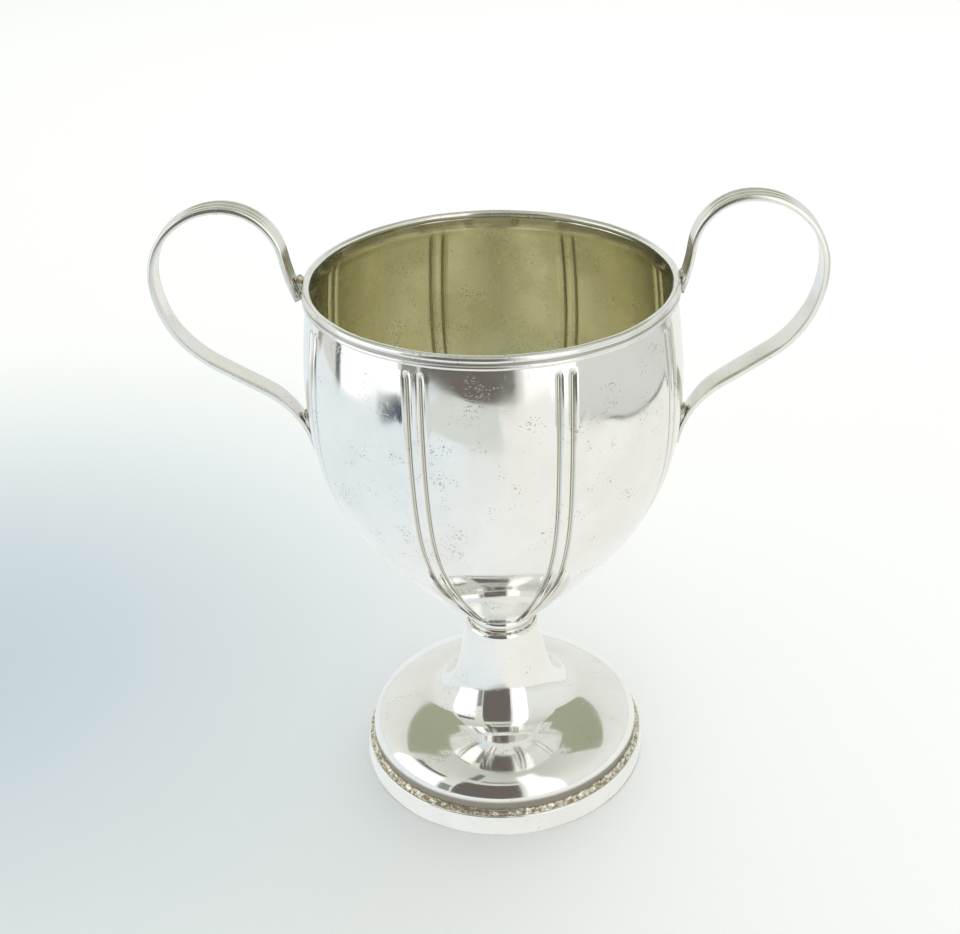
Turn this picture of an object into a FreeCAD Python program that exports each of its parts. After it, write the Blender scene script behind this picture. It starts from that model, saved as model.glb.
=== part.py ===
import FreeCAD, Part
import math
import os

# Two-handled silver loving cup, millimetres, +Z up.
# The origin is the centre of the circle on which the foot stands.  The two handles lie
# along -X and +X.  Everything is silver sheet, strip or wire, soldered together.

V = FreeCAD.Vector

# ---- driving dimensions -----------------------------------------------------------------

# Bowl: a raised shell, described by its outer meridian.
MOUTH_RADIUS = 34.9           # inside radius of the mouth
MOUTH_HEIGHT = 116.2
BOWL_WALL = 0.7
BELLY_RADIUS = 37.8           # widest outer radius, where the wall stands vertical
BELLY_HEIGHT = 91.0
HIP_RADIUS = 29.1             # where the round belly passes into the straighter lower body
HIP_HEIGHT = 63.0
SEAT_RADIUS = 7.8             # where the lower body passes into the small round bottom
SEAT_HEIGHT = 38.2

# Chased flutes on the bowl: pairs of narrow grooves, each with a ridge inside the wall.
FLUTE_PAIRS = 8
FLUTE_TOOL_RADIUS = 0.57      # round-nosed groove
FLUTE_TOOL_STANDOFF = 0.27    # its centre line runs this far outside the wall
FLUTE_ROOT_OFFSET = 0.55      # sideways offset of a groove's plane from the pair's middle
FLUTE_SPREAD_DEG = 0.95       # the planes open by this much, so a pair narrows downwards
FLUTE_LOW_RADIUS = 8.7
FLUTE_TOP_HEIGHT = 111.2

# Reeded wire round the mouth: two beads with a groove between them.
RIM_HEIGHT = 2.7
RIM_RADIUS = 36.65            # outermost radius, on the lower bead
RIM_UPPER_RADIUS = 36.5
RIM_GROOVE_RADIUS = 36.2
RIM_LOWER_BEAD = 1.0          # height of the lower bead
RIM_GROOVE = 0.7
RIM_TOP_RADIUS = 36.0         # outer edge of the level top

# Spun foot: an ogee from a narrow neck to a turned-down lip.
FOOT_WALL = 0.8
LIP_RADIUS = 30.0
RISER = 2.6                   # upright strip under the lip
LIP_ROUND = 1.2
SHOULDER_ROUND = 6.0
DOME_ROUND = 22.5
HOLLOW_ROUND = 5.6            # where the dome turns up into the flare
FLARE_ROUND = 14.4
NECK_ROUND = 48.4
NECK_EDGE_ROUND = 1.0
NECK_HOLE_RADIUS = 5.4

# Base band: an L-section ring with a ledge that carries the foot.
BAND_HEIGHT = 4.8
BAND_RADIUS = 31.7            # at the table
BAND_TOP_RADIUS = 31.3
BAND_WALL = 1.0
LEDGE_THICKNESS = 0.8
LEDGE_INNER_RADIUS = 28.4

# Collar between the foot and the bowl.
COLLAR_RADIUS = 7.1
COLLAR_INNER_RADIUS = 5.9

# Handles: a strip with three reeds along its outer face.
STRAP_WIDTH = 4.9
STRAP_THICKNESS = 1.35
REED_COUNT = 3
REED_DEPTH = 0.3
HANDLE_START = (36.5, 113.0)  # upper end of the reeded face, against the rim
HANDLE_START_HEADING = 67.5

# Solder.
SEAM_SIZE = 1.1               # seam between the lip's riser and the ledge
COLLAR_SEAM_SIZE = 0.4
SOLDER_INSET = 0.3            # the handles' solder stops this short of the strip's sides
RIM_SOLDER_REACH = 2.2        # out from the upper end of the reeded face
RIM_SOLDER_RISE = 1.2         # above the mouth
BOWL_SOLDER_LOW = 84.0        # lower and upper end of the solder in the crevice between
BOWL_SOLDER_HIGH = 87.6       # the bowl and the strip that leaves it
BOWL_SOLDER_REACH = 2.4       # out from the belly

# ---- outlines made of straight runs and tangent arcs ------------------------------------


def polar(angle_deg, length=1.0):
    """A vector in the XZ plane, by its angle from +X."""
    angle = math.radians(angle_deg)
    return V(length * math.cos(angle), 0, length * math.sin(angle))


def walk(start, heading, moves, offset=0.0):
    """Edges of a chain that starts at start and heads along heading (degrees from +X).

    A move is (length,) for a straight run or (radius, turn) for an arc, with a positive
    turn to the left.  offset shifts the whole chain to the left.
    """
    point = V(start[0], 0, start[1]) + polar(heading + 90, offset)
    edges = []
    for move in moves:
        if len(move) == 1:
            end = point + polar(heading, move[0])
            edges.append(Part.makeLine(point, end))
        else:
            radius, turn = move
            side = 1 if turn > 0 else -1
            radius = radius - side * offset
            centre = point + polar(heading + 90 * side, radius)
            middle = centre + polar(heading - 90 * side + turn / 2, radius)
            end = centre + polar(heading - 90 * side + turn, radius)
            edges.append(Part.Arc(point, middle, end).toShape())
            heading += turn
        point = end
    return edges, point, heading


def polyline(*points):
    """Straight edges through points given as (radius, height) or as vectors."""
    corners = [p if isinstance(p, FreeCAD.Vector) else V(p[0], 0, p[1]) for p in points]
    return [Part.makeLine(a, b) for a, b in zip(corners, corners[1:])]


def face_of(edges):
    """The plane face inside a closed chain of edges."""
    return Part.Face(Part.Wire(Part.__sortEdges__(edges)))


def turned(edges):
    """The solid of revolution about Z of a closed outline in the XZ plane."""
    return face_of(edges).revolve(V(0, 0, 0), V(0, 0, 1), 360)


def ends(edge):
    return edge.Vertexes[0].Point, edge.Vertexes[-1].Point


# ---- bowl -------------------------------------------------------------------------------


def bowl_turns():
    """Radii and angles of the meridian's four arcs, from the bottom to the mouth.

    Each angle is the angle of the wall's outward normal, from straight down at -90
    through level at 0, at the belly, to a little above level at the mouth.
    """
    drop = BELLY_HEIGHT - HIP_HEIGHT
    inset = BELLY_RADIUS - HIP_RADIUS
    belly = (drop ** 2 + inset ** 2) / (2 * inset)
    hip_angle = -math.degrees(math.asin(drop / belly))

    normal = polar(hip_angle)
    chord = V(HIP_RADIUS - SEAT_RADIUS, 0, HIP_HEIGHT - SEAT_HEIGHT)
    body = chord.dot(chord) / (2 * normal.dot(chord))
    seat_angle = hip_angle - 2 * math.degrees(math.asin(chord.Length / (2 * body)))

    bottom = SEAT_RADIUS / math.cos(math.radians(seat_angle))

    rise = MOUTH_HEIGHT - BELLY_HEIGHT
    gather = BELLY_RADIUS - MOUTH_RADIUS - BOWL_WALL
    shoulder = (rise ** 2 + gather ** 2) / (2 * gather)
    return bottom, body, belly, shoulder, seat_angle, hip_angle


def bowl_arcs(depth):
    """(centre, radius, first angle, last angle) of each arc, depth inside the wall."""
    bottom, body, belly, shoulder, seat_angle, hip_angle = bowl_turns()
    belly_centre = V(BELLY_RADIUS - belly, 0, BELLY_HEIGHT)
    body_centre = belly_centre - polar(hip_angle, body - belly)
    bottom_centre = body_centre + polar(seat_angle, body - bottom)
    shoulder_centre = V(BELLY_RADIUS - shoulder, 0, BELLY_HEIGHT)
    mouth_angle = math.degrees(math.asin((MOUTH_HEIGHT - BELLY_HEIGHT) / (shoulder - depth)))
    return [
        (bottom_centre, bottom - depth, -90.0, seat_angle),
        (body_centre, body - depth, seat_angle, hip_angle),
        (belly_centre, belly - depth, hip_angle, 0.0),
        (shoulder_centre, shoulder - depth, 0.0, mouth_angle),
    ]


def arc_edge(centre, radius, first, last):
    points = [centre + polar(a, radius) for a in (first, (first + last) / 2, last)]
    return Part.Arc(*points).toShape()


def bowl_blank(depth):
    """The solid inside the meridian, depth inside the outer wall."""
    edges = [arc_edge(*arc) for arc in bowl_arcs(depth)]
    low = ends(edges[0])[0]
    high = ends(edges[-1])[1]
    axis_top = V(0, 0, high.z)
    return turned(edges + polyline(high, axis_top, low))


def flute_tool(radius):
    """A round bar along the meridian, from just above the collar to below the rim."""
    arcs = bowl_arcs(-FLUTE_TOOL_STANDOFF)
    body_centre, body, _, hip_angle = arcs[1]
    low_angle = -math.degrees(math.acos((FLUTE_LOW_RADIUS - body_centre.x) / body))
    shoulder_centre, shoulder, _, _ = arcs[3]
    top_angle = math.degrees(math.asin((FLUTE_TOP_HEIGHT - BELLY_HEIGHT) / shoulder))
    edges = [
        arc_edge(body_centre, body, low_angle, hip_angle),
        arc_edge(*arcs[2]),
        arc_edge(shoulder_centre, shoulder, 0.0, top_angle),
    ]
    low = ends(edges[0])[0]
    high = ends(edges[-1])[1]
    bar_end = Part.Wire([Part.makeCircle(radius, low, polar(low_angle + 90))])
    bar = Part.Wire(edges).makePipeShell([bar_end], True, True)
    return bar, Part.makeSphere(radius, low), Part.makeSphere(radius, high)


def flute_tools(radius):
    """Every groove of every pair."""
    tools = []
    for pair in range(FLUTE_PAIRS):
        azimuth = (pair + 0.5) * 360 / FLUTE_PAIRS
        for side in (-1, 1):
            for piece in flute_tool(radius):
                tool = piece.copy()
                tool.translate(V(0, side * FLUTE_ROOT_OFFSET, 0))
                tool.rotate(V(0, 0, 0), V(0, 0, 1), azimuth + side * FLUTE_SPREAD_DEG)
                tools.append(tool)
    return tools


def bowl():
    outside = bowl_blank(0).cut(flute_tools(FLUTE_TOOL_RADIUS))
    inside = bowl_blank(BOWL_WALL).cut(flute_tools(FLUTE_TOOL_RADIUS + BOWL_WALL))
    return outside.cut(inside)


# ---- rim wire ---------------------------------------------------------------------------


def rim_wire():
    top = MOUTH_HEIGHT
    bottom = top - RIM_HEIGHT
    lower_top = bottom + RIM_LOWER_BEAD
    upper_bottom = lower_top + RIM_GROOVE
    inner = MOUTH_RADIUS
    crown = RIM_TOP_RADIUS
    lower_bead = Part.Arc(V(RIM_GROOVE_RADIUS, 0, bottom),
                          V(RIM_RADIUS, 0, (bottom + lower_top) / 2),
                          V(RIM_GROOVE_RADIUS, 0, lower_top)).toShape()
    upper_bead = Part.Arc(V(RIM_GROOVE_RADIUS, 0, upper_bottom),
                          V(RIM_UPPER_RADIUS, 0, (upper_bottom + top) / 2),
                          V(crown, 0, top)).toShape()
    outline = [lower_bead, upper_bead]
    outline += polyline((RIM_GROOVE_RADIUS, lower_top), (RIM_GROOVE_RADIUS, upper_bottom))
    outline += polyline((crown, top), (inner, top), (inner, bottom), (RIM_GROOVE_RADIUS, bottom))
    return turned(outline).cut(bowl_blank(0))


# ---- foot, band and collar --------------------------------------------------------------

FOOT_MOVES = [
    (RISER,),
    (LIP_ROUND, 12.0),
    (SHOULDER_ROUND, 45.0),
    (DOME_ROUND, 27.0),
    (HOLLOW_ROUND, -39.0),
    (FLARE_ROUND, -26.0),
    (NECK_ROUND, -15.0),
    (NECK_EDGE_ROUND, 86.0),
]


def foot_outline(offset):
    return walk((LIP_RADIUS, BAND_HEIGHT), 90.0, FOOT_MOVES, offset)


def foot():
    outer, outer_top, _ = foot_outline(0)
    inner, inner_top, _ = foot_outline(FOOT_WALL)
    low_outer = ends(outer[0])[0]
    low_inner = ends(inner[0])[0]
    top = polyline(outer_top, (NECK_HOLE_RADIUS, outer_top.z),
                   (NECK_HOLE_RADIUS, inner_top.z), inner_top)
    return turned(outer + inner + top + polyline(low_inner, low_outer))


def foot_band():
    wall_inner = BAND_RADIUS - BAND_WALL
    under_ledge = BAND_HEIGHT - LEDGE_THICKNESS
    return turned(polyline((wall_inner, 0), (BAND_RADIUS, 0), (BAND_TOP_RADIUS, BAND_HEIGHT),
                           (LEDGE_INNER_RADIUS, BAND_HEIGHT), (LEDGE_INNER_RADIUS, under_ledge),
                           (wall_inner, under_ledge), (wall_inner, 0)))


def foot_top():
    return foot_outline(0)[1].z


def collar():
    height = SEAT_HEIGHT + 1 - foot_top()
    tube = Part.makeCylinder(COLLAR_RADIUS, height, V(0, 0, foot_top()))
    bore = Part.makeCylinder(COLLAR_INNER_RADIUS, height, V(0, 0, foot_top()))
    return tube.cut(bore).cut(bowl_blank(0))


# ---- handles ----------------------------------------------------------------------------

HANDLE_MOVES = [
    (31.1, 15.8),       # out of the rim joint
    (12.0, -85.8),      # up and over, the tighter side of the loop
    (15.3, -89.8),      # outer quarter of the loop
    (22.2, -55.7),      # round into the arm
    (10.7,),            # straight run of the arm
    (19.7, 46.5),       # sweeping down on to the bowl
]


def strap_section():
    """Cross-section of the strip: X to the left of its path, the reeds on that side."""
    half = STRAP_WIDTH / 2
    reed = STRAP_WIDTH / REED_COUNT
    back = -STRAP_THICKNESS
    valley = -REED_DEPTH
    edges = []
    for i in range(REED_COUNT):
        first = -half + i * reed
        last = first + reed
        edges.append(Part.Arc(V(valley, first, 0), V(0, (first + last) / 2, 0),
                              V(valley, last, 0)).toShape())
    corners = [V(valley, half, 0), V(back, half, 0), V(back, -half, 0), V(valley, -half, 0)]
    edges += [Part.makeLine(a, b) for a, b in zip(corners, corners[1:])]
    return face_of(edges)


def placed_section(point, heading):
    """The strip's cross-section, square to its path at a point."""
    left = polar(heading + 90)
    along = polar(heading)
    across = along.cross(left)
    turn = FreeCAD.Placement(point, FreeCAD.Rotation(left, across, along, "XYZ"))
    section = strap_section()
    section.Placement = turn
    return section


def strap():
    """The whole strip of the handle on the +X side, before it is fitted."""
    point = V(HANDLE_START[0], 0, HANDLE_START[1])
    heading = HANDLE_START_HEADING
    solids = []
    for move in HANDLE_MOVES:
        section = placed_section(point, heading)
        _, end, next_heading = walk((point.x, point.z), heading, [move])
        if len(move) == 1:
            solids.append(section.extrude(polar(heading, move[0])))
        else:
            radius, turn = move
            side = 1 if turn > 0 else -1
            centre = point + polar(heading + 90 * side, radius)
            solids.append(section.revolve(centre, V(0, -1, 0), turn))
        point = end
        heading = next_heading
    return solids[0].fuse(solids[1:]).removeSplitter()


def handle():
    return strap().cut([bowl_blank(0), rim_wire()])


def solder_wedge(*corners):
    """A bar of solder across the strip, with the given cross-section."""
    half = STRAP_WIDTH / 2 - SOLDER_INSET
    wedge = face_of(polyline(*corners, corners[0]))
    wedge.translate(V(0, -half, 0))
    return wedge.extrude(V(0, 2 * half, 0)).cut([bowl_blank(0), rim_wire(), strap()])


def handle_rim_solder():
    """Solder between the rim wire and the reeded face, with a fillet above the rim."""
    inner = RIM_TOP_RADIUS
    middle = HANDLE_START[0] + STRAP_THICKNESS / 2
    outer = HANDLE_START[0] + RIM_SOLDER_REACH
    low = HANDLE_START[1] + STRAP_THICKNESS / 2
    high = MOUTH_HEIGHT + RIM_SOLDER_RISE
    return solder_wedge((inner, low), (middle, low), (outer, high), (middle, high),
                        (inner, MOUTH_HEIGHT))


def handle_bowl_solder():
    """Solder in the crevice where the strip leaves the bowl."""
    inner = BELLY_RADIUS - 1
    outer = BELLY_RADIUS + BOWL_SOLDER_REACH
    return solder_wedge((inner, BOWL_SOLDER_LOW), (outer, BOWL_SOLDER_HIGH),
                        (inner, BOWL_SOLDER_HIGH))


# ---- solder rings -----------------------------------------------------------------------


def ring_fillet(radius, height, size):
    """A sloping solder seam in the corner between an upright wall and a ledge outside it."""
    return turned(polyline((radius, height), (radius + size, height),
                           (radius, height + size), (radius, height)))


def band_solder():
    return ring_fillet(LIP_RADIUS, BAND_HEIGHT, SEAM_SIZE)


def collar_solder():
    return ring_fillet(COLLAR_RADIUS, foot_top(), COLLAR_SEAM_SIZE)


# ---- files ------------------------------------------------------------------------------


def opposite(shape):
    """The same piece on the -X side."""
    copy = shape.copy()
    copy.rotate(V(0, 0, 0), V(0, 0, 1), 180)
    return copy


def main():
    right = {
        "handle_right": handle(),
        "handle_right_rim_solder": handle_rim_solder(),
        "handle_right_bowl_solder": handle_bowl_solder(),
    }
    nodes = {
        "bowl": bowl(),
        "rim_wire": rim_wire(),
        "collar": collar(),
        "collar_solder": collar_solder(),
        "foot": foot(),
        "foot_band": foot_band(),
        "band_solder": band_solder(),
    }
    nodes.update(right)
    for name, shape in right.items():
        nodes[name.replace("right", "left")] = opposite(shape)

    os.makedirs("parts", exist_ok=True)
    for name, shape in nodes.items():
        solids = shape.Solids
        body = solids[0] if len(solids) == 1 else Part.makeCompound(solids)
        body.exportStep(os.path.join("parts", name + ".step"))
        box = body.BoundBox
        state = "valid" if body.isValid() else "NOT VALID"
        print(name, len(solids), "solid", state, "volume %.1f" % body.Volume,
              "x %.2f..%.2f z %.2f..%.2f" % (box.XMin, box.XMax, box.ZMin, box.ZMax))


main()
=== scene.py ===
import math
import bpy
import numpy as np
from mathutils import Matrix, Vector, noise


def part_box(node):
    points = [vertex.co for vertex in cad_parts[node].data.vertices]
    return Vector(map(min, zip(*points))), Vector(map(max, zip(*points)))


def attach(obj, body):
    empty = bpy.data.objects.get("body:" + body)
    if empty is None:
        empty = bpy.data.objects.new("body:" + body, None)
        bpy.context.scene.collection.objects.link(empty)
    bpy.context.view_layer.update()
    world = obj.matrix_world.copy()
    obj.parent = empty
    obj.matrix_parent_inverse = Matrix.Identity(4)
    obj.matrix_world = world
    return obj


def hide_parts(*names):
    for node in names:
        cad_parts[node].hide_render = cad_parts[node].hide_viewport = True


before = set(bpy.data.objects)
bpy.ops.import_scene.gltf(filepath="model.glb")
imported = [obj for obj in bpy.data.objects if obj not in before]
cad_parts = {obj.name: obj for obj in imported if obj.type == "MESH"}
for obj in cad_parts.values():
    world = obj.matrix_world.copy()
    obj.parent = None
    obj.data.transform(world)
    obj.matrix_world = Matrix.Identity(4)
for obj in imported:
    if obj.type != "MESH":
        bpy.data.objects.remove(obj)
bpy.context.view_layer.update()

MM = 0.001


def box_mm(node):
    """Lowest and highest corner of a CAD node, in millimetres."""
    low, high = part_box(node)
    return np.array(low) / MM, np.array(high) / MM


# ---- driving sizes, in millimetres, from the frame ---------------------------------------

MOUTH_HEIGHT = box_mm("bowl")[1][2]
RIM_LOW = box_mm("rim_wire")[0][2]
RIM_RADIUS = box_mm("rim_wire")[1][0]
COLLAR_RADIUS = box_mm("collar")[1][0]
FOOT_TOP = box_mm("collar")[0][2]
BAND_RADIUS = box_mm("foot_band")[1][0]
BAND_HEIGHT = box_mm("foot_band")[1][2]
STRAP_HALF_WIDTH = box_mm("handle_right")[1][1]

BOWL_WALL = 0.7
STRAP_THICKNESS = 1.35
REED_DEPTH = 0.34

# ---- camera ------------------------------------------------------------------------------

CAMERA_AZIMUTH = 1.35          # degrees round the cup from straight in front
CAMERA_DISTANCE = 260.45       # over the table, from the cup's axis
CAMERA_HEIGHT = 225.1
CAMERA_YAW = -2.63             # turned from the cup's axis, to the right
CAMERA_PITCH = -30.3
CAMERA_ROLL = -0.4
CAMERA_LENS = 54.24
CAMERA_SHIFT = -0.078


def make_camera():
    data = bpy.data.cameras.new("camera")
    data.sensor_width = 36.0
    data.lens = CAMERA_LENS
    data.shift_x = CAMERA_SHIFT
    data.clip_start = 0.01
    data.clip_end = 50.0
    camera = bpy.data.objects.new("camera", data)
    bpy.context.scene.collection.objects.link(camera)
    turn = math.radians(CAMERA_AZIMUTH)
    camera.location = (CAMERA_DISTANCE * math.sin(turn) * MM,
                       -CAMERA_DISTANCE * math.cos(turn) * MM, CAMERA_HEIGHT * MM)
    aim = Matrix.Rotation(turn + math.radians(CAMERA_YAW), 3, "Z")
    tilt = Matrix.Rotation(math.radians(90 + CAMERA_PITCH), 3, "X")
    roll = Matrix.Rotation(math.radians(CAMERA_ROLL), 3, "Z")
    camera.rotation_euler = (aim @ tilt @ roll).to_euler()
    bpy.context.scene.camera = camera


# ---- mesh helpers ------------------------------------------------------------------------


def add_piece(name, points, faces, material, replaces=(), slot=None, values=None):
    """A mesh piece from points in millimetres; values are per-point shader attributes."""
    mesh = bpy.data.meshes.new(name)
    mesh.from_pydata((np.asarray(points, float) * MM).tolist(), [], faces)
    mesh.polygons.foreach_set("use_smooth", [True] * len(mesh.polygons))
    for key, numbers in (values or {}).items():
        attribute = mesh.attributes.new(key, "FLOAT", "POINT")
        attribute.data.foreach_set("value", np.asarray(numbers, np.float32).ravel())
    mesh.validate()
    mesh.update()
    piece = bpy.data.objects.new(name, mesh)
    bpy.context.scene.collection.objects.link(piece)
    mesh.materials.append(material)
    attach(piece, "root")
    if replaces:
        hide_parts(*replaces)
    return piece


def grid_faces(rows, columns, close_rows=False, close_columns=True):
    """Quads of a rows x columns grid of points, row by row."""
    i = np.arange(rows if close_rows else rows - 1)
    j = np.arange(columns if close_columns else columns - 1)
    i, j = [a.ravel() for a in np.meshgrid(i, j, indexing="ij")]
    i2, j2 = (i + 1) % rows, (j + 1) % columns
    quads = np.stack([i * columns + j, i * columns + j2, i2 * columns + j2, i2 * columns + j], 1)
    return quads.tolist()


def capped_faces(rows, columns):
    """Faces of a tube of rows x columns points, closed at both ends."""
    last = (rows - 1) * columns
    faces = grid_faces(rows, columns)
    faces.append(list(range(columns))[::-1])
    faces.append([last + k for k in range(columns)])
    return faces


def turned(radius, height, columns):
    """A grid of points: each row's radius and height, turned about Z."""
    turn = np.linspace(0, 2 * math.pi, columns, endpoint=False)
    return np.stack([radius * np.cos(turn), radius * np.sin(turn), height + 0 * turn], -1)


def spun(pairs, degrees):
    """Points of a plane, turned about its origin."""
    c, s = math.cos(math.radians(degrees)), math.sin(math.radians(degrees))
    return np.stack([pairs[:, 0] * c - pairs[:, 1] * s, pairs[:, 0] * s + pairs[:, 1] * c], 1)


def smooth_line(points, count):
    """count points on the natural cubic spline through the given points."""
    points = np.asarray(points, float)
    s = np.concatenate([[0], np.cumsum(np.linalg.norm(np.diff(points, axis=0), axis=1))])
    n = len(s)
    h = np.diff(s)
    system = np.eye(n)
    right = np.zeros_like(points)
    for k in range(1, n - 1):
        system[k, k - 1:k + 2] = h[k - 1], 2 * (h[k - 1] + h[k]), h[k]
        right[k] = 6 * ((points[k + 1] - points[k]) / h[k] - (points[k] - points[k - 1]) / h[k - 1])
    bend = np.linalg.solve(system, right)
    t = np.linspace(0, s[-1], count)
    k = np.clip(np.searchsorted(s, t) - 1, 0, n - 2)
    a, b, w = (t - s[k])[:, None], (s[k + 1] - t)[:, None], h[k][:, None]
    return (bend[k] * b ** 3 + bend[k + 1] * a ** 3) / (6 * w) \
        + (points[k] / w - bend[k] * w / 6) * b + (points[k + 1] / w - bend[k + 1] * w / 6) * a


def walk(start, heading, moves, step=0.1, soften=0.0):
    """Points and headings (radians) of a chain of straight runs (length,) and arcs (radius, turn).

    soften is the length over which one curvature passes into the next.
    """
    bends = []
    for move in moves:
        if len(move) == 1:
            bends += [0.0] * max(1, round(move[0] / step))
        else:
            length = move[0] * math.radians(abs(move[1]))
            count = max(1, round(length / step))
            bends += [math.radians(move[1]) / count] * count
    bends = np.array(bends)
    width = int(soften / step)
    if width > 1:
        kernel = np.hanning(width + 2)[1:-1]
        pad = np.concatenate([np.full(width, bends[0]), bends, np.full(width, bends[-1])])
        bends = np.convolve(pad, kernel / kernel.sum(), "same")[width:-width]
    angles = math.radians(heading) + np.concatenate([[0], np.cumsum(bends)])
    middle = (angles[1:] + angles[:-1]) / 2
    moves_x = np.concatenate([[0], np.cumsum(np.cos(middle) * step)])
    moves_z = np.concatenate([[0], np.cumsum(np.sin(middle) * step)])
    return np.stack([start[0] + moves_x, start[1] + moves_z], 1), angles


def thin(points, angles, keep_bend=0.03, keep_length=0.6):
    """Indices of a walk's points that are enough for its bends."""
    kept = [0]
    for k in range(1, len(points)):
        far = np.linalg.norm(points[k] - points[kept[-1]]) >= keep_length
        if far or abs(angles[k] - angles[kept[-1]]) >= keep_bend or k == len(points) - 1:
            kept.append(k)
    return kept


def revolved(name, outline, material, columns, ripple=None, **details):
    """A closed ring turned about Z from its outline, points of (radius, height).

    ripple(angle, k) gives small radius and height offsets, for hand-made unevenness.
    """
    outline = np.asarray(outline, float)
    radius, height = outline[:, :1], outline[:, 1:]
    if ripple:
        turn = np.linspace(0, 2 * math.pi, columns, endpoint=False)
        shift_r, shift_z = ripple(turn[None, :], np.arange(len(outline))[:, None])
        radius = radius + shift_r
        height = height + shift_z
    points = turned(radius, height, columns).reshape(-1, 3)
    faces = grid_faces(len(outline), columns, close_rows=True)
    return add_piece(name, points, faces, material, **details)


def wobble(points, size, seed, amount):
    """Smooth noise of a given size at points in millimetres, one number each."""
    shift = Vector((seed * 17.3, seed * 5.1, seed * 9.7))
    return np.array([noise.noise(Vector(p) / size + shift) for p in points]) * amount


def bead(centre, radius, first, last, count=9):
    """Points on an arc, angles in degrees."""
    angle = np.radians(np.linspace(first, last, count))
    return [(centre[0] + radius * math.cos(a), centre[1] + radius * math.sin(a)) for a in angle]


# ---- materials ---------------------------------------------------------------------------


# The Mix node has one set of sockets per data type; these are the colour ones.
MIX_COLOUR_A, MIX_COLOUR_B, MIX_COLOUR_OUT = 6, 7, 2


class Nodes:
    """Short ways to add shader nodes to one material."""

    def __init__(self, name):
        self.material = bpy.data.materials.new(name)
        self.material.use_nodes = True
        self.tree = self.material.node_tree
        self.shader = self.tree.nodes["Principled BSDF"]
        coordinates = self.tree.nodes.new("ShaderNodeTexCoord")
        scale = self.tree.nodes.new("ShaderNodeVectorMath")
        scale.operation = "SCALE"
        scale.inputs["Scale"].default_value = 1 / MM
        self.link(coordinates.outputs["Object"], scale.inputs[0])
        self.place = scale.outputs[0]

    def link(self, a, b):
        self.tree.links.new(a, b)

    def stretched(self, x, y, z):
        node = self.tree.nodes.new("ShaderNodeVectorMath")
        node.operation = "MULTIPLY"
        node.inputs[1].default_value = (x, y, z)
        self.link(self.place, node.inputs[0])
        return node.outputs[0]

    def noise(self, scale, detail=3.0, roughness=0.55, place=None, distortion=0.0):
        node = self.tree.nodes.new("ShaderNodeTexNoise")
        node.inputs["Scale"].default_value = scale
        node.inputs["Detail"].default_value = detail
        node.inputs["Roughness"].default_value = roughness
        node.inputs["Distortion"].default_value = distortion
        self.link(place or self.place, node.inputs["Vector"])
        return node.outputs["Fac"]

    def ramp(self, value, low, high, out_low=0.0, out_high=1.0):
        node = self.tree.nodes.new("ShaderNodeMapRange")
        node.interpolation_type = "SMOOTHSTEP"
        node.inputs["From Min"].default_value = low
        node.inputs["From Max"].default_value = high
        node.inputs["To Min"].default_value = out_low
        node.inputs["To Max"].default_value = out_high
        self.link(value, node.inputs["Value"])
        return node.outputs["Result"]

    def math(self, operation, a, b):
        node = self.tree.nodes.new("ShaderNodeMath")
        node.operation = operation
        for socket, value in zip(node.inputs, (a, b)):
            if isinstance(value, (int, float)):
                socket.default_value = value
            else:
                self.link(value, socket)
        return node.outputs[0]

    def mix(self, factor, a, b):
        node = self.tree.nodes.new("ShaderNodeMix")
        node.data_type = "RGBA"
        self.link(factor, node.inputs["Factor"])
        for socket, value in ((node.inputs[MIX_COLOUR_A], a), (node.inputs[MIX_COLOUR_B], b)):
            if isinstance(value, tuple):
                socket.default_value = (*value, 1.0)
            else:
                self.link(value, socket)
        return node.outputs[MIX_COLOUR_OUT]

    def attribute(self, name):
        node = self.tree.nodes.new("ShaderNodeAttribute")
        node.attribute_name = name
        return node.outputs["Fac"]

    def bump(self, height, distance, strength=1.0, below=None):
        node = self.tree.nodes.new("ShaderNodeBump")
        node.inputs["Distance"].default_value = distance * MM
        node.inputs["Strength"].default_value = strength
        self.link(height, node.inputs["Height"])
        if below:
            self.link(below, node.inputs["Normal"])
        return node.outputs["Normal"]


SILVER = (0.93, 0.925, 0.90)
WORN_SILVER = (0.80, 0.79, 0.76)
PIT = (0.50, 0.47, 0.41)
# dark brown for tarnish, also used as painted shade in grooves, creases and hidden faces
BROWN_TARNISH_AND_SHADE = (0.20, 0.17, 0.12)
OLIVE_TARNISH = (0.90, 0.88, 0.72)


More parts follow.
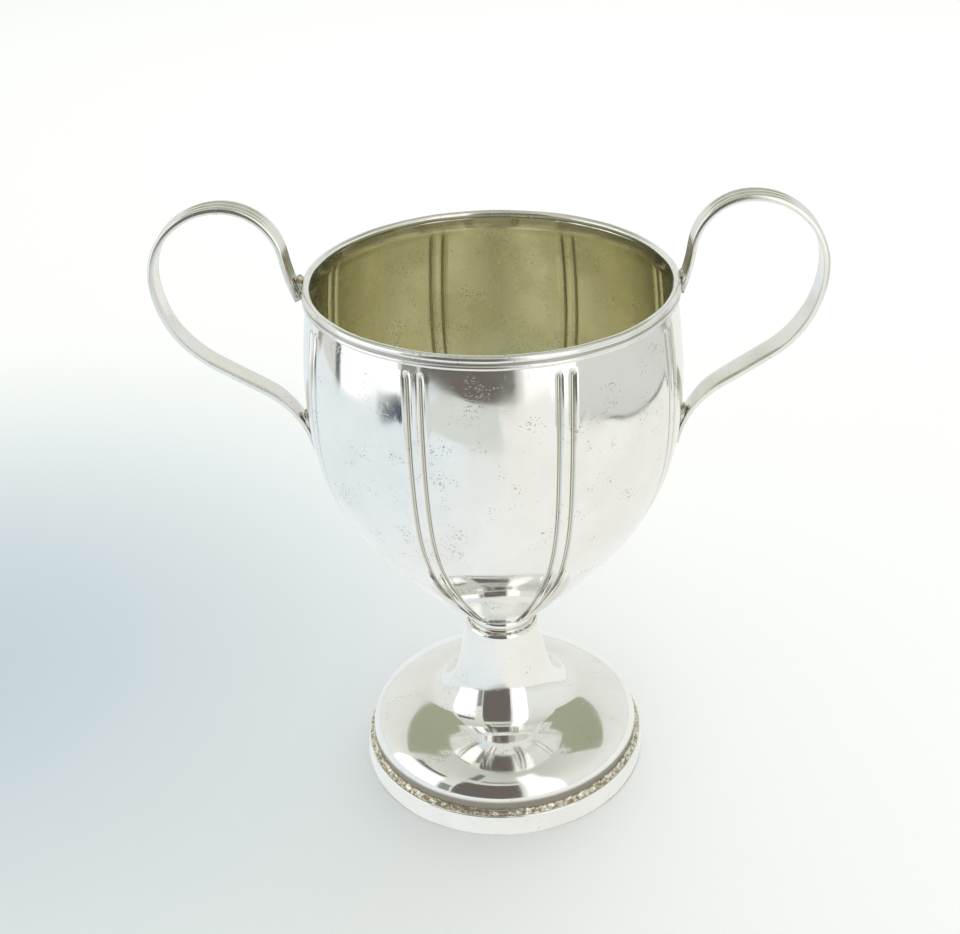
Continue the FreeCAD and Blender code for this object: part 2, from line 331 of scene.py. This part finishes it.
def silver(name, base=SILVER, worn=WORN_SILVER, gloss=0.05, rough=0.16, pits=1.0,
           dents=0.0, tarnish_and_shade_colour=BROWN_TARNISH_AND_SHADE):
    """Polished silver: cloudy gloss, scratches in two directions, patches of fine pits.

    Point attributes: the tarnish attribute darkens it, for tarnish and for painted shade; inside turns it
    olive and duller.
    """
    n = Nodes(name)
    cloud = n.noise(0.09, 4.0)
    across = n.noise(3.0, 2.0, place=n.stretched(1, 1, 0.07))
    along = n.noise(3.0, 2.0, place=n.stretched(0.12, 0.12, 1.6))
    scratches = n.math("MAXIMUM", n.ramp(across, 0.66, 0.74), n.ramp(along, 0.68, 0.76))
    specks = n.ramp(n.noise(2.2, 2.0, 0.6), 0.58, 0.64)
    patches = n.ramp(n.noise(0.16, 3.0, 0.6), 0.53, 0.66)
    pitted = n.math("MULTIPLY", n.math("MULTIPLY", specks, patches), pits)
    tarnish_and_shade = n.attribute("tarnish_and_shade")
    inside = n.attribute("inside")

    colour = n.mix(n.ramp(cloud, 0.35, 0.7, 0.0, 0.35), base, worn)
    colour = n.mix(pitted, colour, PIT)
    olive = n.mix(n.ramp(cloud, 0.35, 0.65), OLIVE_TARNISH, (0.86, 0.83, 0.64))
    colour = n.mix(inside, colour, olive)
    # darkens towards brown for tarnish and for painted shade in grooves, creases and hidden faces
    colour = n.mix(tarnish_and_shade, colour, tarnish_and_shade_colour)
    n.link(colour, n.shader.inputs["Base Color"])

    roughness = n.ramp(cloud, 0.3, 0.75, gloss, rough)
    roughness = n.math("ADD", roughness, n.math("MULTIPLY", scratches, 0.10))
    roughness = n.math("ADD", roughness, n.math("MULTIPLY", pitted, 0.25))
    roughness = n.math("ADD", roughness, n.math("MULTIPLY", inside, 0.14))
    roughness = n.math("ADD", roughness, n.math("MULTIPLY", tarnish_and_shade, 0.25))
    n.link(roughness, n.shader.inputs["Roughness"])
    n.shader.inputs["Metallic"].default_value = 1.0

    relief = n.math("SUBTRACT", n.math("MULTIPLY", scratches, -0.3), pitted)
    normal = n.bump(relief, 0.02, 0.35)
    if dents:
        normal = n.bump(n.noise(0.35, 1.0), dents, 1.0, below=normal)
    n.link(normal, n.shader.inputs["Normal"])
    return n.material


def solder_material():
    n = Nodes("silver_solder")
    grain = n.noise(1.2, 4.0, 0.6)
    colour = n.mix(n.ramp(grain, 0.38, 0.62), (0.36, 0.30, 0.18), (0.86, 0.84, 0.76))
    n.link(colour, n.shader.inputs["Base Color"])
    n.link(n.ramp(grain, 0.3, 0.7, 0.55, 0.18), n.shader.inputs["Roughness"])
    n.link(n.bump(n.noise(2.5, 3.0), 0.06, 0.6), n.shader.inputs["Normal"])
    n.shader.inputs["Metallic"].default_value = 1.0
    return n.material


# ---- bowl --------------------------------------------------------------------------------

BOWL_LINE = [(0.0, 35.9), (4.2, 36.2), (7.7, 38.2), (15.2, 45.5), (24.0, 56.0), (31.3, 66.5),
             (35.8, 77.0), (37.75, 91.0), (37.1, 105.0), (35.75, MOUTH_HEIGHT - 0.9)]
BOWL_ROWS = 230
SECTOR_COLUMNS = 64
# Inside, the wall thickens just below the mouth and then flares out to it: heights and shifts.
MOUTH_HEIGHTS = [111.4, 112.3, 115.3]
MOUTH_SHIFTS = [0.0, -0.3, 0.35]
BRIGHT_BAND = 3.7              # inside, below the mouth, free of olive tarnish
BRIGHT_FADE = 0.7
FLUTE_PAIRS = 8
FLUTE_DEPTH = 0.42
FLUTE_WIDTH = 0.46
FLUTE_SHOULDER = 0.09
FLUTE_TOP = 111.7
FLUTE_LOW_RADIUS = 8.2
# How far each pair's middle is from even spacing, in degrees, from azimuth 22.5 onwards: taken
# from measurements of the photograph and rounded. Where a pair is hidden, its values are invented.
PAIR_DRIFT = [-2.0, -3.0, -3.0, -1.5, 2.5, 0.5, -1.0, -3.0]
PAIR_LEAN = [0.5, -0.6, 0.8, 0.0, -0.5, 1.0, -1.1, 0.6]


def flute_spacing(radius):
    """Half the distance between the two grooves of a pair, mm."""
    return np.minimum(1.32, 0.45 + 0.032 * radius)


def flute_profile(side, width, shoulder):
    """Groove depth, 0 to 1, at sideways distances from its centre line, with raised shoulders."""
    groove = np.exp(-(side / width) ** 2 * 1.15)
    lip = np.exp(-((np.abs(side) - 2.1 * width) / (0.9 * width)) ** 2)
    return groove - shoulder * lip


def sector_columns(count, tightness=3.4):
    """Positions across one flute sector, -0.5 to 0.5, crowded towards the pair."""
    t = (np.arange(count) + 0.5) / count * 2 - 1
    return np.sinh(tightness * t) / np.sinh(tightness) / 2


def bowl_surface(line, columns, width, depth, shoulder):
    """Points of the fluted surface over a meridian line, and how deep in a groove each lies."""
    sector = sector_columns(columns)
    radius, height = line[:, 0], line[:, 1]
    tangent = np.gradient(line, axis=0)
    tangent /= np.linalg.norm(tangent, axis=1)[:, None]
    normal = np.stack([tangent[:, 1], -tangent[:, 0]], 1)
    sector_width = 2 * math.pi * np.maximum(radius, 1e-3) / FLUTE_PAIRS
    side = sector[None, :] * sector_width[:, None]
    spacing = flute_spacing(radius)[:, None]
    down = np.clip((FLUTE_TOP - height) / (FLUTE_TOP - 45), 0, 1)
    points, depths = [], []
    for pair in range(FLUTE_PAIRS):
        top = np.clip((FLUTE_TOP + (0.25, -0.2, 0.1)[pair % 3] - height) / 1.1, 0, 1)
        low = np.clip((radius - FLUTE_LOW_RADIUS) / 3.0, 0, 1)
        reach = (np.sqrt(top * (2 - top)) * low)[:, None]
        cut = np.zeros_like(side)
        for groove in (-1, 1):
            cut += flute_profile(side - groove * spacing, width * (0.75 + 0.25 * reach), shoulder)
        cut *= reach
        middle = (pair + 0.5) * 360 / FLUTE_PAIRS + PAIR_DRIFT[pair] \
            + PAIR_LEAN[pair] * np.sin(down * math.pi * 1.3)
        # the drift fades towards the sector's edges, so that neighbouring sectors meet
        mid = np.radians((pair + 0.5) * 360 / FLUTE_PAIRS + sector * 360 / FLUTE_PAIRS)[None, :]
        drift = np.radians(middle - (pair + 0.5) * 360 / FLUTE_PAIRS)[:, None]
        turn = mid + drift * (1 - (2 * np.abs(sector[None, :])) ** 2) ** 2
        r = radius[:, None] - normal[:, :1] * cut * depth
        z = height[:, None] - normal[:, 1:] * cut * depth
        points.append(np.stack([r * np.cos(turn), r * np.sin(turn), z], -1))
        depths.append(np.clip(cut, 0, 1))
    return np.concatenate(points, 1), np.concatenate(depths, 1)


def dented(points, amount, seed):
    """The same grid of points with the soft unevenness of a hammered and planished shell."""
    flat = points.reshape(-1, 3)
    coarse = wobble(flat, 16.0, seed, amount) + wobble(flat, 7.0, seed + 1, amount * 0.35)
    out = flat.copy()
    reach = np.hypot(flat[:, 0], flat[:, 1])
    scale = 1 + coarse / np.maximum(reach, 4.0)
    out[:, 0] *= scale
    out[:, 1] *= scale
    return out.reshape(points.shape)


def make_bowl(material):
    outer = smooth_line(BOWL_LINE, BOWL_ROWS)
    tangent = np.gradient(outer, axis=0)
    tangent /= np.linalg.norm(tangent, axis=1)[:, None]
    inner = outer - np.stack([tangent[:, 1], -tangent[:, 0]], 1) * BOWL_WALL
    inner[:, 0] += np.interp(inner[:, 1], MOUTH_HEIGHTS, MOUTH_SHIFTS)
    inner[0, 0] = outer[0, 0] = 0.02
    inner = inner[::-1][::2]
    shoulder = FLUTE_SHOULDER / FLUTE_DEPTH
    outside, outer_cut = bowl_surface(outer, SECTOR_COLUMNS, FLUTE_WIDTH, FLUTE_DEPTH, shoulder)
    inside, inner_cut = bowl_surface(inner, SECTOR_COLUMNS, FLUTE_WIDTH * 1.15, FLUTE_DEPTH * 0.8, 0.0)
    grid = dented(np.concatenate([outside, inside], 0), 0.11, 3)
    faces = capped_faces(*grid.shape[:2])
    # painted shade in the grooves, strong outside and faint inside
    tarnish_and_shade = np.concatenate([outer_cut ** 1.5 * 0.85, inner_cut * 0.12], 0)
    inside_mask = np.zeros(grid.shape[:2])
    inside_mask[len(outer):] = np.clip((MOUTH_HEIGHT - BRIGHT_BAND - inner[:, 1:]) / BRIGHT_FADE, 0, 1)
    return add_piece("bowl_shell", grid.reshape(-1, 3), faces, material, replaces=["bowl"],
                     slot="bowl_silver", values={"tarnish_and_shade": tarnish_and_shade, "inside": inside_mask})


# ---- rim wire ----------------------------------------------------------------------------


def make_rim(material):
    top_bead, low_bead = 0.82, 0.52
    top_centre = (RIM_RADIUS - 0.9, MOUTH_HEIGHT - top_bead)
    low_centre = (RIM_RADIUS - low_bead, RIM_LOW + low_bead)
    groove = (RIM_RADIUS - 0.55, RIM_LOW + 1.28)
    outline = bead(low_centre, low_bead, -100, 62, 12)
    outline += [groove]
    outline += bead(top_centre, top_bead, -28, 205, 22)
    outline += [(top_centre[0] - 0.35, top_centre[1] - 0.75), (low_centre[0] - 0.5, RIM_LOW + 0.2)]
    columns = 512

    def ripple(turn, k):
        around = 0.03 * np.sin(7 * turn + 1.3) + 0.025 * np.sin(13 * turn) + 0.015 * np.sin(29 * turn + 2)
        return around, 0.05 * np.sin(2 * turn + 0.5) + 0.02 * np.sin(17 * turn)

    # painted shade in the groove between the beads, and on the hidden back of the wire
    dark = np.zeros(len(outline))
    dark[11:14] = 0.55
    dark[-3:] = 0.5
    return revolved("rim_bead", outline, material, columns, ripple,
                    replaces=["rim_wire"], slot="rim_silver",
                    values={"tarnish_and_shade": np.repeat(dark, columns)})


# ---- collar, foot and band ---------------------------------------------------------------

# From the lip up to the neck: runs (length,) and arcs (radius, turn).
FOOT_MOVES = [(2.6,), (1.2, 12.0), (6.0, 45.0), (22.5, 27.0), (5.6, -39.0), (14.4, -26.0),
              (48.4, -15.0), (1.0, 86.0)]
LIP_RADIUS = 30.0


def make_collar(material, solder):
    columns = 192
    outer = COLLAR_RADIUS
    top = box_mm("collar")[1][2]
    low = bead((outer - 0.1, FOOT_TOP + 0.24), 0.22, -90, 80, 8)
    high = bead((outer - 1.5, (FOOT_TOP + top) / 2 + 0.3), 1.45, -24, 50, 10)
    outline = low + high + [(outer - 1.2, top), (outer - 1.2, FOOT_TOP)]
    # painted shadow at the bottom of the collar, and painted shade in the crease between its two beads
    dark = np.zeros(len(outline))
    dark[7:9] = 0.35
    dark[0] = 0.6
    revolved("neck_collar", outline, material, columns, replaces=["collar"],
             slot="foot_silver", values={"tarnish_and_shade": np.repeat(dark, columns)})
    seam = [(outer - 0.3, FOOT_TOP - 0.05), (outer + 0.45, FOOT_TOP - 0.05),
            (outer + 0.2, FOOT_TOP + 0.1), (outer - 0.05, FOOT_TOP + 0.35)]
    revolved("neck_seam", seam, solder, columns, replaces=["collar_solder"], slot="solder")


def foot_line(offset):
    points, angles = walk((LIP_RADIUS, BAND_HEIGHT), 90.0, FOOT_MOVES, 0.05, 1.5)
    left = np.stack([-np.sin(angles), np.cos(angles)], 1)
    kept = thin(points, angles, 0.05, 0.5)
    return (points + left * offset)[kept]


def make_foot(material):
    outer = foot_line(0.0)
    inner = foot_line(0.8)[::-1]
    outline = np.concatenate([outer, inner])
    columns = 384
    grid = dented(turned(outline[:, :1], outline[:, 1:], columns), 0.05, 11)
    # painted shadow on the lip's riser just above the band, and painted shade on the hidden inner surface
    above = outline[:, 1] - BAND_HEIGHT
    dark = np.where(np.arange(len(outline)) < len(outer), np.clip((3.3 - above) / 0.6, 0, 1), 0.35)
    return add_piece("foot_shell", grid.reshape(-1, 3), grid_faces(len(outline), columns, True),
                     material, replaces=["foot"], slot="foot_silver",
                     values={"tarnish_and_shade": np.repeat(dark * 0.85, columns)})


def make_band(material):
    top_radius = BAND_RADIUS - 0.4
    inner = LIP_RADIUS - 1.4
    outline = [(BAND_RADIUS - 1.0, 0.0), (BAND_RADIUS - 0.12, 0.0), (BAND_RADIUS, 0.12),
               (BAND_RADIUS - 0.12, BAND_HEIGHT * 0.3), (BAND_RADIUS - 0.26, BAND_HEIGHT * 0.65),
               (top_radius, BAND_HEIGHT - 0.3), (top_radius - 0.04, BAND_HEIGHT - 0.12),
               (top_radius - 0.16, BAND_HEIGHT), (top_radius - 0.5, BAND_HEIGHT + 0.02),
               (inner, BAND_HEIGHT - 0.02), (inner, BAND_HEIGHT - 0.8),
               (BAND_RADIUS - 1.0, BAND_HEIGHT - 0.8), (BAND_RADIUS - 1.0, BAND_HEIGHT * 0.4)]
    columns = 512

    def ripple(turn, k):
        edge = np.isin(k, (5, 6, 7, 8)) * 1.0
        shift = 0.03 * np.sin(11 * turn) + 0.03 * np.sin(23 * turn + 1) + 0.02 * np.sin(47 * turn)
        return edge * shift + 0.02 * np.sin(5 * turn), edge * shift * 0.8

    # tarnish in the channel on the ledge by the foot's lip; painted shade on the inner faces hidden under
    # the lip
    dark = np.zeros(len(outline))
    dark[8] = 0.35
    dark[9:] = 0.8
    revolved("base_band", outline, material, columns, ripple,
             replaces=["foot_band"], slot="band_silver",
             values={"tarnish_and_shade": np.repeat(dark, columns)})


def make_base_seam(solder):
    """The uneven fillet of solder in the corner between the foot's lip and the band's ledge."""
    columns = 720
    corner = LIP_RADIUS - 0.1
    profile = np.array([(corner, BAND_HEIGHT - 0.1), (corner + 1.1, BAND_HEIGHT - 0.1),
                        (corner + 1.0, BAND_HEIGHT + 0.08), (corner + 0.7, BAND_HEIGHT + 0.22),
                        (corner + 0.4, BAND_HEIGHT + 0.45), (corner + 0.22, BAND_HEIGHT + 0.75),
                        (corner + 0.05, BAND_HEIGHT + 1.15)])
    ring = turned(profile[:, :1], profile[:, 1:], columns)
    lumps = wobble(ring.reshape(-1, 3), 1.3, 5, 0.45).reshape(ring.shape[:2])
    lumps[:2] = 0
    ring[..., 2] += np.clip(lumps, -0.1, 0.35)
    add_piece("base_seam", ring.reshape(-1, 3), grid_faces(len(profile), columns, True), solder,
              replaces=["band_solder"], slot="solder")


# ---- handles -----------------------------------------------------------------------------

HANDLE_START = (36.5, 113.0)
HANDLE_START_HEADING = 67.5
HANDLE_MOVES = [(31.1, 15.8), (12.0, -85.8), (15.3, -89.8), (22.2, -55.7), (10.7,), (19.7, 46.5)]
TAIL_LENGTH = 13.0
TAIL_HEIGHT = 95.0             # the tail lies below this


def strap_outline():
    """Section of the strip, (left of the path, across), with rounded corners and three reeds."""
    half, back = STRAP_HALF_WIDTH, -STRAP_THICKNESS
    corner = 0.16
    points, dark = [], []
    reed = 2 * half / 3
    for k in range(3):
        centre = -half + (k + 0.5) * reed
        for t in np.linspace(-1, 1, 9):
            edge = abs(t) == 1 and not (k == 0 and t < 0) and not (k == 2 and t > 0)
            if k and t == -1:
                continue
            points.append((-REED_DEPTH * abs(t) ** 2.4, centre + t * reed / 2))
            # dark: painted shade in the valleys between the reeds
            dark.append(0.9 if edge else 0.0)
    points += [(back + corner, half), (back + corner * 0.3, half - corner * 0.3), (back, half - corner)]
    points += [(back, half * t) for t in (0.6, 0.2, -0.2, -0.6)]
    points += [(back, corner - half), (back + corner * 0.3, corner * 0.3 - half), (back + corner, -half)]
    dark += [0.0] * 10
    return np.array(points), np.array(dark)


def push_to_skin(grid):
    """How far out each point of a strap's tail moves, to lie on the bowl's skin and not in it."""
    outer = smooth_line(BOWL_LINE, 200)
    skin = np.interp(grid[..., 2], outer[:, 1], outer[:, 0]) - 0.02
    reach = np.hypot(grid[..., 0], grid[..., 1])
    low = grid[..., 2] < TAIL_HEIGHT
    return np.where(low & (reach < skin), skin - reach, 0.0)


def make_handle(name, side, lean, grow, twist, material):
    """The strap on one side: +1 right, -1 left.

    Each was bent by hand: lean (degrees) and grow act about its lower end, and twist turns
    the arm's face a little.
    """
    path, angles = walk(HANDLE_START, HANDLE_START_HEADING, HANDLE_MOVES, 0.05, 4.0)
    kept = thin(path, angles, 0.035, 0.7)
    path, angles = path[kept], angles[kept]
    length = np.concatenate([[0], np.cumsum(np.linalg.norm(np.diff(path, axis=0), axis=1))])
    section, dark = strap_outline()
    tail = np.clip((length - length[-1] + TAIL_LENGTH) / TAIL_LENGTH, 0, 1)
    thickness = 1 - 0.48 * tail
    left = np.stack([-np.sin(angles), np.cos(angles)], 1)
    pivot = path[-1]
    path = pivot + spun((path - pivot) * grow, lean)
    left = spun(left, lean)
    depth = section[None, :, 0] * thickness[:, None]
    across = section[None, :, 1] * (1 - 0.04 * tail[:, None])
    along = length / length[-1]
    wring = np.radians(twist) * np.clip((along - 0.45) / 0.2, 0, 1) * np.clip((0.93 - along) / 0.12, 0, 1)
    wring = wring[:, None]
    depth, across = (depth * np.cos(wring) - across * np.sin(wring),
                     across * np.cos(wring) + depth * np.sin(wring))
    x = path[:, :1] + left[:, :1] * depth
    z = path[:, 1:] + left[:, 1:] * depth
    grid = np.stack([x, across, z], -1)
    grid[..., 0] += push_to_skin(grid)
    grid = grid.reshape(-1, 3)
    grid = grid + np.stack([wobble(grid, 9.0, 21 + side, 0.08), np.zeros(len(grid)),
                            wobble(grid, 9.0, 31 + side, 0.08)], 1)
    if side < 0:
        grid = grid * np.array([-1, -1, 1])
    rows, columns = len(path), len(section)
    faces = capped_faces(rows, columns)
    tarnish_and_shade = np.repeat(dark[None, :], rows, 0)
    # darker where the strap leaves the rim and along the tail that lies on the bowl
    ends = np.maximum(np.clip(1 - length / 3.0, 0, 1), np.clip((tail - 0.3) * 1.2, 0, 1) * 0.35)
    tarnish_and_shade = np.maximum(tarnish_and_shade, ends[:, None] * 0.5)
    word = "right" if side > 0 else "left"
    return add_piece(name, grid, faces, material, replaces=["handle_" + word],
                     slot="handle_silver", values={"tarnish_and_shade": tarnish_and_shade})


def lump(name, centre, size, seed, material, node, tilt):
    """A small deposit of solder: a rounded, uneven lump."""
    rings, columns = 18, 28
    polar = np.linspace(0.001, math.pi - 0.001, rings)[:, None]
    turn = np.linspace(0, 2 * math.pi, columns, endpoint=False)[None, :]
    unit = np.stack([np.sin(polar) * np.cos(turn), np.sin(polar) * np.sin(turn),
                     np.cos(polar) + 0 * turn], -1).reshape(-1, 3)
    unit = np.sign(unit) * np.abs(unit) ** 0.85
    bumps = 1 + wobble(unit, 0.55, seed, 0.32)
    points = unit * bumps[:, None] * np.array(size)
    points[:, [0, 2]] = spun(points[:, [0, 2]], tilt)
    points += np.array(centre)
    if "left" in node:
        points = points * np.array([-1, -1, 1])
    faces = capped_faces(rings, columns)
    return add_piece(name, points, faces, material, replaces=[node], slot="solder")


# ---- stage: floor, room panels and lights -------------------------------------------------


def glowing_material(name, colour):
    """A surface that gives off one even colour and reflects nothing."""
    material = bpy.data.materials.new(name)
    material.use_nodes = True
    shader = material.node_tree.nodes["Principled BSDF"]
    shader.inputs["Base Color"].default_value = (0, 0, 0, 1)
    shader.inputs["Roughness"].default_value = 0.7
    shader.inputs["Specular IOR Level"].default_value = 0.0
    shader.inputs["Emission Color"].default_value = (*colour, 1.0)
    shader.inputs["Emission Strength"].default_value = 1.0
    return material


def stage_mesh(name, corners, faces, material, reflections_only=True):
    """A stage object: seen only in reflections, or everywhere but in them."""
    mesh = bpy.data.meshes.new(name)
    mesh.from_pydata(corners, [], faces)
    mesh.materials.append(material)
    thing = bpy.data.objects.new(name, mesh)
    bpy.context.scene.collection.objects.link(thing)
    if reflections_only:
        thing.visible_camera = False
        thing.visible_diffuse = False
        thing.visible_shadow = False
    else:
        thing.visible_glossy = False


# The table's reflection; from here on lengths are in metres, and in millimetres inside materials.
TABLE_LEFT, TABLE_RIGHT, TABLE_FRONT, TABLE_BACK = -0.33, 0.26, -0.455, 0.9
PANEL_CENTRE_HEIGHT = 0.09


def floor_material():
    n = Nodes("pale_paper")
    n.shader.inputs["Roughness"].default_value = 0.8
    n.shader.inputs["Specular IOR Level"].default_value = 0.0
    centre = n.tree.nodes.new("ShaderNodeVectorMath")
    centre.operation = "DISTANCE"
    centre.inputs[1].default_value = (-150.0, 30.0, 0.0)
    n.link(n.place, centre.inputs[0])
    # painted shade: a bluish darker pool on the floor to the left of the cup
    bluish_painted_shade = n.ramp(centre.outputs["Value"], 215.0, 5.0)
    n.link(n.mix(bluish_painted_shade, (0.95, 0.955, 0.96), (0.56, 0.645, 0.71)), n.shader.inputs["Base Color"])
    return n.material


def table_material():
    n = Nodes("table_glow")
    n.shader.inputs["Base Color"].default_value = (0, 0, 0, 1)
    n.shader.inputs["Specular IOR Level"].default_value = 0.0
    n.shader.inputs["Emission Strength"].default_value = 1.0
    split = n.tree.nodes.new("ShaderNodeSeparateXYZ")
    n.link(n.place, split.inputs[0])
    left = n.ramp(split.outputs["X"], 60.0, -130.0)
    n.link(n.mix(left, (0.92, 0.925, 0.89), (0.82, 0.885, 0.92)), n.shader.inputs["Emission Color"])
    return n.material


def flat_piece(name, left, right, front, back, height, material, reflections_only=True):
    corners = [(left, front, height), (right, front, height), (right, back, height),
               (left, back, height)]
    stage_mesh(name, corners, [(0, 1, 2, 3)], material, reflections_only)


def table_patch(name, left, right, front, back, height, colour):
    """A flat piece of one colour in the table's reflection."""
    flat_piece(name, left, right, front, back, height, glowing_material(name, colour))


def make_stage():
    big = 3.0
    flat_piece("floor", -big, big, -big, big, 0.0, floor_material(), reflections_only=False)
    flat_piece("table_white", TABLE_LEFT, TABLE_RIGHT, TABLE_FRONT, TABLE_BACK, 0.0,
               table_material())
    table_patch("table_grey", -0.235, 0.028, TABLE_FRONT, -0.265, 0.0004, (0.69, 0.73, 0.69))
    table_patch("table_edge_right", TABLE_RIGHT - 0.008, TABLE_RIGHT, -0.26, 0.2, 0.0006,
                (0.08, 0.08, 0.08))
    table_patch("dark_thing", -0.33, -0.27, -0.235, -0.14, 0.0006, (0.05, 0.07, 0.10))


def make_world():
    world = bpy.data.worlds.new("studio")
    bpy.context.scene.world = world
    world.use_nodes = True
    tree = world.node_tree
    background = tree.nodes["Background"]
    coordinates = tree.nodes.new("ShaderNodeTexCoord")
    split = tree.nodes.new("ShaderNodeSeparateXYZ")
    ramp = tree.nodes.new("ShaderNodeValToRGB")
    half = tree.nodes.new("ShaderNodeMath")
    half.operation = "MULTIPLY_ADD"
    half.inputs[1].default_value = 0.5
    half.inputs[2].default_value = 0.5
    tree.links.new(coordinates.outputs["Generated"], split.inputs[0])
    tree.links.new(split.outputs["Z"], half.inputs[0])
    tree.links.new(half.outputs[0], ramp.inputs["Fac"])
    tree.links.new(ramp.outputs["Color"], background.inputs["Color"])
    stops = [(0.0, (0.66, 0.66, 0.62)), (0.40, (0.70, 0.71, 0.68)), (0.55, (0.83, 0.85, 0.83)),
             (0.75, (0.80, 0.82, 0.78)), (0.9, (0.70, 0.72, 0.66)), (1.0, (0.55, 0.57, 0.52))]
    ramp.color_ramp.elements[0].position = stops[0][0]
    ramp.color_ramp.elements[0].color = (*stops[0][1], 1)
    ramp.color_ramp.elements[1].position = stops[-1][0]
    ramp.color_ramp.elements[1].color = (*stops[-1][1], 1)
    for position, colour in stops[1:-1]:
        ramp.color_ramp.elements.new(position).color = (*colour, 1)
    background.inputs["Strength"].default_value = 1.0


def room_panel(name, azimuths, elevations, colour, distance=1.4, steps=8):
    """A panel of the room, seen only in reflections: part of a sphere round the cup.

    Azimuths are degrees from straight in front, to the right; elevations are over the cup.
    """
    corners = []
    az = np.radians(np.linspace(azimuths[0], azimuths[1], steps))
    for elevation in (elevations[0], elevations[1]):
        e = math.radians(elevation)
        row = [(distance * math.sin(a) * math.cos(e), -distance * math.cos(a) * math.cos(e),
                PANEL_CENTRE_HEIGHT + distance * math.sin(e)) for a in az]
        corners += row if elevation == elevations[0] else row[::-1]
    faces = [(k, k + 1, 2 * steps - 2 - k, 2 * steps - 1 - k) for k in range(steps - 1)]
    stage_mesh(name, corners, faces, glowing_material(name, colour))


def area_light(name, location, size, power, colour):
    data = bpy.data.lights.new(name, "AREA")
    data.shape = "RECTANGLE"
    data.size, data.size_y = size
    data.energy = power
    data.color = colour
    light = bpy.data.objects.new(name, data)
    light.location = location
    aim = Vector((0, 0, 0.06)) - Vector(location)
    light.rotation_euler = aim.to_track_quat("-Z", "Y").to_euler()
    light.visible_glossy = False
    bpy.context.scene.collection.objects.link(light)


def make_room():
    """Light and dark areas where the silver in the photograph mirrors them.

    They are plain panels, but their directions and colours were measured in its reflections.
    dark_middle, dark_low, warm_left and warm_right stand where the person with the camera did.
    """
    room_panel("dark_middle", (-42, 13), (-40, 49), (0.15, 0.135, 0.12))
    room_panel("dark_low", (-36, -30), (-40, 5), (0.07, 0.09, 0.10), 1.38)
    room_panel("warm_left", (-28, -17), (-40, 8), (0.24, 0.19, 0.15), 1.37)
    room_panel("warm_right", (6, 13), (-40, 40), (0.26, 0.21, 0.16), 1.37)
    room_panel("window_right", (17, 47), (-40, 72), (1.25, 1.25, 1.22), 1.3)
    room_panel("window_left", (-98, -55), (-40, 36), (1.2, 1.22, 1.22), 1.3)
    room_panel("window_top_bar", (-95, -60), (40, 46), (0.10, 0.13, 0.14), 1.25)
    room_panel("left_bar", (-84, -75), (-40, -8), (0.45, 0.47, 0.44), 1.25)
    room_panel("left_dark", (-103, -96), (-40, -14), (0.13, 0.15, 0.14), 1.25)
    room_panel("left_shelf", (-53, -44), (-40, 20), (0.28, 0.29, 0.27), 1.25)
    room_panel("lamp_dark", (-48, -36), (60, 72), (0.18, 0.20, 0.20), 1.25)
    room_panel("ceiling_line", (-30, 14), (57, 63), (0.34, 0.32, 0.28), 1.25)
    room_panel("ceiling_middle", (0, 360), (78, 89), (0.30, 0.30, 0.27), 1.25, 24)
    room_panel("olive_back", (104, 256), (38, 62), (0.37, 0.39, 0.28), 1.25, 24)
    area_light("soft_back", (0.15, 0.6, 0.8), (1.0, 0.7), 2.2, (1.0, 1.0, 1.0))
    area_light("soft_over", (0.0, -0.1, 1.6), (2.4, 2.4), 7.5, (1.0, 1.0, 1.0))


# ---- the scene ---------------------------------------------------------------------------

bpy.context.scene.view_settings.view_transform = "Standard"
make_camera()
make_world()
make_stage()
make_room()

bowl_silver = silver("bowl_silver", dents=0.004)
rim_silver = silver("rim_silver", worn=(0.62, 0.60, 0.55), gloss=0.12, rough=0.30, pits=1.0)
foot_silver = silver("foot_silver", gloss=0.04, rough=0.12, pits=0.5, dents=0.003)
band_silver = silver("band_silver", gloss=0.10, rough=0.24, pits=0.8)
handle_silver = silver("handle_silver", base=(0.88, 0.87, 0.83), gloss=0.14, rough=0.28, pits=0.5,
                       tarnish_and_shade_colour=(0.24, 0.20, 0.13))
solder = solder_material()

make_bowl(bowl_silver)
make_rim(rim_silver)
make_collar(foot_silver, solder)
make_foot(foot_silver)
make_band(band_silver)
make_base_seam(solder)
make_handle("strap_right", 1, 1.1, 1.006, 9.0, handle_silver)
make_handle("strap_left", -1, -0.4, 0.991, 0.0, handle_silver)
for word, seed in (("right", 1), ("left", 2)):
    lump("rim_deposit_" + word, (RIM_RADIUS + 0.35, 0.1, MOUTH_HEIGHT - 0.35), (0.6, 1.7, 0.75),
         seed, solder, f"handle_{word}_rim_solder", tilt=-25)
    lump("bowl_deposit_" + word, (38.0, 0.0, 86.2), (0.5, 1.8, 1.2),
         seed + 4, solder, f"handle_{word}_bowl_solder", tilt=-30)
